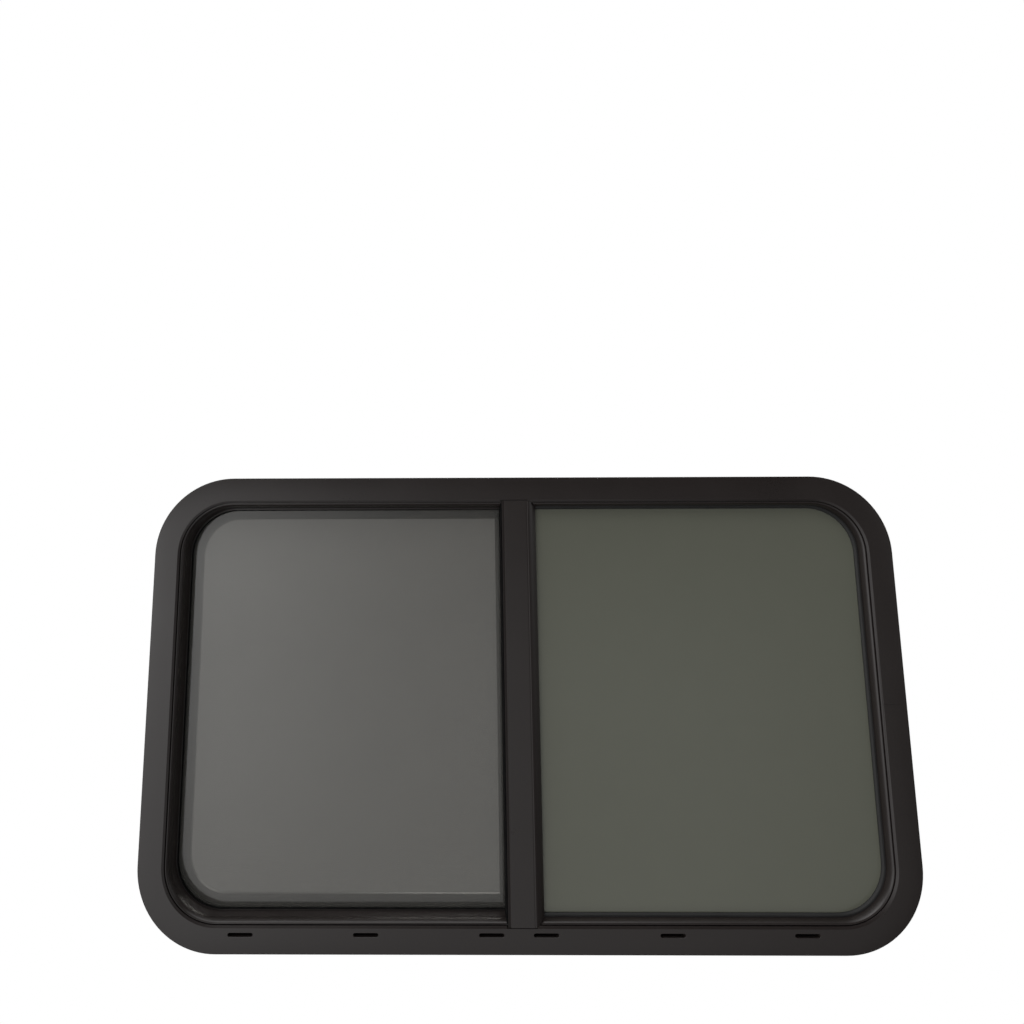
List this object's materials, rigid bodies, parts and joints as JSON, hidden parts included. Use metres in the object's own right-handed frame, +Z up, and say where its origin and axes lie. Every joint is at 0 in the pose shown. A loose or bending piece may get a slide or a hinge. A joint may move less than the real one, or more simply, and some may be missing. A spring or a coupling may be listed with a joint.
{
  "type": "caravan window",
  "caption": "Horizontal sliding caravan window with round corners, tinted panes, insect screen and clamp ring.",
  "frame": {"origin": "on the flange's flat back face, at the middle of the bottom flange", "axes": "+X to the right as seen from outside, -Y towards the outside, +Z up"},
  "size_m": [0.946, 0.0446, 0.5736],
  "materials": {
    "bronze_frame": "satin dark bronze powder coat on extruded aluminium",
    "screen_bar": "satin dark bronze roll-formed aluminium",
    "tinted_glass": "grey-green tinted tempered glass",
    "seal": "matt black rubber",
    "pile": "black flocked run and pile",
    "mesh": "dark grey woven fibreglass insect mesh",
    "black_plastic": "fine-grained black plastic",
    "black_steel": "black-coated steel"
  },
  "bodies": {
    "root": {"outer_frame": "bronze_frame", "bay_filler": "bronze_frame", "mullion": "bronze_frame", "mullion_pile": "pile", "fixed_glass": "tinted_glass", "fixed_seal": "seal", "sliding_glass": "tinted_glass", "glass_run_left": "pile", "glass_run_top": "pile", "glass_run_bottom": "pile", "sash_stop_upper": "seal", "sash_stop_lower": "seal", "sash_stile": "bronze_frame", "latch_body": "black_plastic", "latch_lever": "black_plastic", "screen_frame": "screen_bar", "screen_stile": "screen_bar", "screen_corner_upper": "black_plastic", "screen_corner_lower": "black_plastic", "screen_mesh": "mesh", "screen_spline": "seal", "screen_tab_upper": "black_plastic", "screen_tab_lower": "black_plastic", "screen_clip_top": "black_steel", "screen_clip_left": "black_steel", "screen_clip_bottom": "black_steel", "clamp_ring": "bronze_frame", "ring_screws_top": "black_steel", "ring_screws_bottom": "black_steel", "ring_screws_left": "black_steel", "ring_screws_right": "black_steel"}
  },
  "joints": []
}
